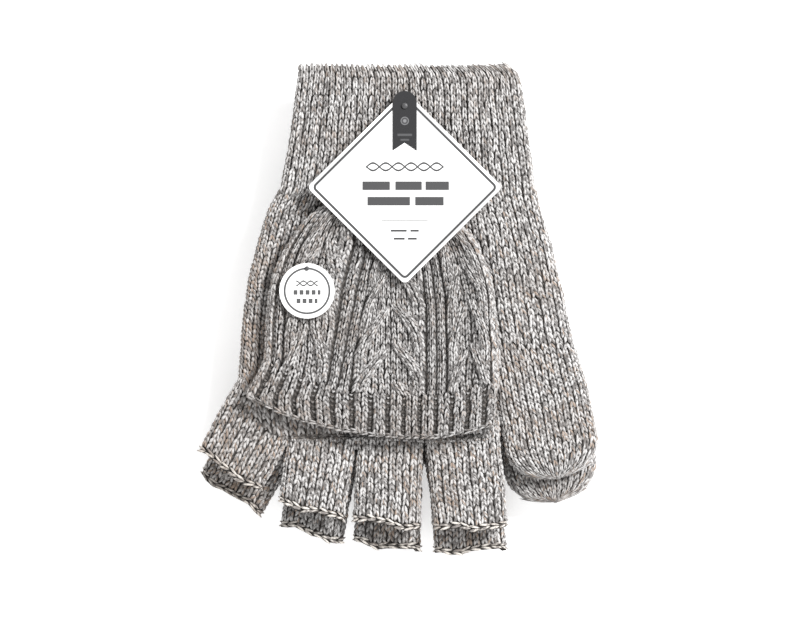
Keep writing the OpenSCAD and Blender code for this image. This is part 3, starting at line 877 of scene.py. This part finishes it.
def plait(ink, x, y, wave, high, half, line, soft):
    # two waves that cross
    for k in (0, 1):
        curve = (x * wave + k * math.pi).math("SINE") * high
        ink = ink.upper((1 - (y - curve).abs().step(*line)) * inside(x.abs() - half, soft))
    return ink


# A rim line, a plait and plain bars are printed on the square card: each bar's middle, width and height
cardPrint = dict(rim=1.7, rimRound=1.6, rimLine=(0.42, 0.62), plaitY=8.2,
                 plait=dict(wave=0.62, high=1.5, half=15.5, line=(0.32, 0.52), soft=0.2),
                 bars=[(-11.4, 0.6, 11.0, 3.5), (1.5, 0.6, 10.6, 3.5), (12.9, 0.6, 9.4, 3.5),
                       (-6.4, -5.6, 17.0, 3.5), (9.8, -5.6, 11.4, 3.5), (0, -13.2, 18.5, 0.35),
                       (-2.4, -17.4, 6.4, 0.9), (3.9, -17.4, 3.4, 0.9), (-2.2, -20.6, 4.4, 0.9),
                       (3.0, -20.6, 3.6, 0.9)])


def cardMaterial():
    m, bsdf, s = material("tagCard", 0.55, Specular_IOR_Level=0.06)
    pos, x, y = coords(s)
    org = tag.translation * 1000
    x = x - org.x
    y = (y - org.y) / math.cos(tip) - cardCentre
    # how far from the rim's line, on a square turned with the card
    u, v = ((x + y) * math.sqrt(0.5)).abs(), ((x - y) * math.sqrt(0.5)).abs()
    flat = cards["side"] / 2 - cardPrint["rim"] - cardPrint["rimRound"]
    du, dv = (u - flat).upper(0.0), (v - flat).upper(0.0)
    far = (du * du + dv * dv).math("SQRT") + (u.upper(v) - flat).lower(0.0) - cardPrint["rimRound"]
    ink = 1 - far.abs().step(*cardPrint["rimLine"])
    ink = plait(ink, x, y - cardPrint["plaitY"], **cardPrint["plait"])
    for b in cardPrint["bars"]:
        ink = ink.upper(bar(x, y, *b, soft=0.08))
    paper = s.node("ShaderNodeTexNoise", {"Vector": pos, "Scale": 1500.0, "Detail": 3.0})
    c = paper.step(0.2, 0.8).mix((0.83, 0.83, 0.825), (0.87, 0.87, 0.865))
    join(m, bsdf, "Base Color", (ink * 0.96).mix(c, (0.035, 0.035, 0.037)))
    join(m, bsdf, "Normal", s.node("ShaderNodeBump", {"Strength": 0.08, "Distance": 0.0001, "Height": paper}))
    return m


# The round card has a ring, a plait and two rows of blocks: each row's height, width and block's pitch
roundPrint = dict(ring=8.9, ringLine=(0.32, 0.5), plaitY=3.0,
                  plait=dict(wave=1.1, high=0.9, half=4.3, line=(0.26, 0.42), soft=0.1),
                  rows=[(-0.6, 10.8), (-4.0, 8.4)], rowHigh=1.9, pitch=2.4, block=0.68)


def roundMaterial():
    m, bsdf, s = material("roundTagCard", 0.5, Specular_IOR_Level=0.06)
    x, y = coords(s)[1:]
    x, y = x - (cards["roundX"] + pair["x"]), y - (cards["roundY"] + pair["y"])
    far = (x * x + y * y).math("SQRT")
    ink = 1 - (far - roundPrint["ring"]).abs().step(*roundPrint["ringLine"])
    ink = plait(ink, x, y - roundPrint["plaitY"], **roundPrint["plait"])
    for rowY, wide in roundPrint["rows"]:
        blocks = ((x + wide / 2) / roundPrint["pitch"]).fract() < roundPrint["block"]
        ink = ink.upper(bar(x, y, 0, rowY, wide, roundPrint["rowHigh"]) * blocks)
    join(m, bsdf, "Base Color", (ink * 0.95).mix((0.86, 0.86, 0.855), (0.05, 0.05, 0.052)))
    return m


ribbonShape = dict(half=4.8, top=1.2, low=-18, notch=-14.8, thick=0.4, rim=0.05, lift=0.5)
ribbonPrint = dict(ringsY=-6.0, bars=[(0, -11.6, 5.8, 0.9), (0, -13.6, 3.4, 0.7)])


def ribbonMaterial():
    m, bsdf, s = material("tagRibbon", 0.75, Specular_IOR_Level=0.06)
    x, y = coords(s)[1:]
    org = tag.translation * 1000
    x, y = x - org.x, y - org.y
    weave = (x * 14).math("SINE") * (y * 14).math("SINE")
    ringY = y - ribbonPrint["ringsY"]
    far = (x * x + ringY * ringY).math("SQRT")
    rings = (1 - far.step(1.5, 1.75)) * (0.55 + 0.45 * (far * 4.6).math("SINE"))
    bars = bar(x, y, *ribbonPrint["bars"][0]).upper(bar(x, y, *ribbonPrint["bars"][1]))
    c = weave.step(-1, 1).mix((0.024, 0.024, 0.025), (0.04, 0.04, 0.042))
    join(m, bsdf, "Base Color", (rings.upper(bars * 0.3) * 0.6).mix(c, (0.33, 0.33, 0.34)))
    join(m, bsdf, "Normal", s.node("ShaderNodeBump", {"Strength": 0.3, "Distance": 0.0001, "Height": weave}))
    return m


square = finishPiece(plate(cardOutline(), cards["thick"]), "swing_tag_print", cardMaterial(), tag, smooth=False)
hold(square, "swing_tag", "swing_tag_card")

half = ribbonShape["half"]
outline = [(half * math.cos(a), ribbonShape["top"] + half * math.sin(a)) for a in np.linspace(0, math.pi, 19)]
outline += [(-half, ribbonShape["low"]), (0, ribbonShape["notch"]), (half, ribbonShape["low"])]
ribbon = finishPiece(plate(outline, ribbonShape["thick"], ribbonShape["rim"]), "swing_tag_ribbon_woven",
                     ribbonMaterial(), tag @ Matrix.Translation((0, 0, ribbonShape["lift"] / 1000)), smooth=False)
hold(ribbon, "swing_tag", "swing_tag_ribbon")

bm = bmesh.new()
bmesh.ops.create_circle(bm, cap_ends=True, segments=96, radius=cards["roundR"])
outline = [tuple(v.co.xy) for v in bm.verts]
bm.free()
disc = finishPiece(plate(outline, cards["thick"]), "round_tag_print", roundMaterial(),
                   seat(cards["roundX"], cards["roundY"], cards["roundZ"]), smooth=False)
hold(disc, "round_tag", "round_tag_card")

plastic = material("pinPlastic", 0.4, Base_Color=(0.06, 0.06, 0.062, 1), Specular_IOR_Level=0.35)[0]
pin = dict(shaft=0.4, bar=0.45, barLong=7.6, headFlat=0.4)


def pinPiece(name, x, y, low, high, head):
    # a round head, a thin shaft and a bar across its lower end
    bm = bmesh.new()
    bmesh.ops.create_uvsphere(bm, u_segments=20, v_segments=10, radius=head, matrix=Matrix.Translation((0, 0, high))
                              @ Matrix.Diagonal((1, 1, pin["headFlat"], 1)))
    bmesh.ops.create_cone(bm, cap_ends=True, segments=12, radius1=pin["shaft"], radius2=pin["shaft"],
                          depth=high - low, matrix=Matrix.Translation((0, 0, (high + low) / 2)))
    bmesh.ops.create_uvsphere(bm, u_segments=10, v_segments=8, radius=pin["bar"],
                              matrix=Matrix.Translation((0, 0, low)) @ Matrix.Diagonal((pin["barLong"], 1, 1, 1)))
    bmesh.ops.scale(bm, vec=(0.001,) * 3, verts=bm.verts)
    return finishPiece(bm, name, plastic, seat(x, y, 0.0))


hold(pinPiece("swing_tag_tpin", cards["pinX"], cards["pinY"], -11.5, 16.9, 1.25), "left_glove", "swing_tag_pin")
hold(pinPiece("round_tag_tpin", cards["roundX"], cards["roundY"] + cards["roundHole"], 14.2, 19.8, 0.9),
     "right_cap", "round_tag_pin")
print("tags made")

# Table and light
studio = dict(tableZ=-0.0012, table=0.88, glow=0.45, world=0.48)
bm = bmesh.new()
bmesh.ops.create_grid(bm, x_segments=1, y_segments=1, size=3)
floorMat = material("table", 0.9, Base_Color=(*[studio["table"]] * 3, 1), Specular_IOR_Level=0.1,
                    Emission_Color=(1, 1, 1, 1), Emission_Strength=studio["glow"])[0]
table = finishPiece(bm, "table", floorMat, Matrix.Translation((0, 0, studio["tableZ"])))


def lamp(name, at, size, watts):
    data = bpy.data.lights.new(name, "AREA")
    data.shape, data.size, data.energy = "DISK", size, watts
    ob = bpy.data.objects.new(name, data)
    bpy.context.scene.collection.objects.link(ob)
    ob.location = at
    ob.rotation_mode = "QUATERNION"
    ob.rotation_quaternion = (-Vector(at)).to_track_quat("-Z", "Y")


lamp("key", (0.72, 0.6, 1.1), 0.42, 33)
lamp("fill", (-0.25, -1.0, 1.1), 1.4, 10)
world = bpy.data.worlds.new("studio")
world.use_nodes = True
world.node_tree.nodes["Background"].inputs["Color"].default_value = (1, 1, 1, 1)
world.node_tree.nodes["Background"].inputs["Strength"].default_value = studio["world"]
bpy.context.scene.world = world
bpy.context.scene.view_settings.view_transform = "Standard"
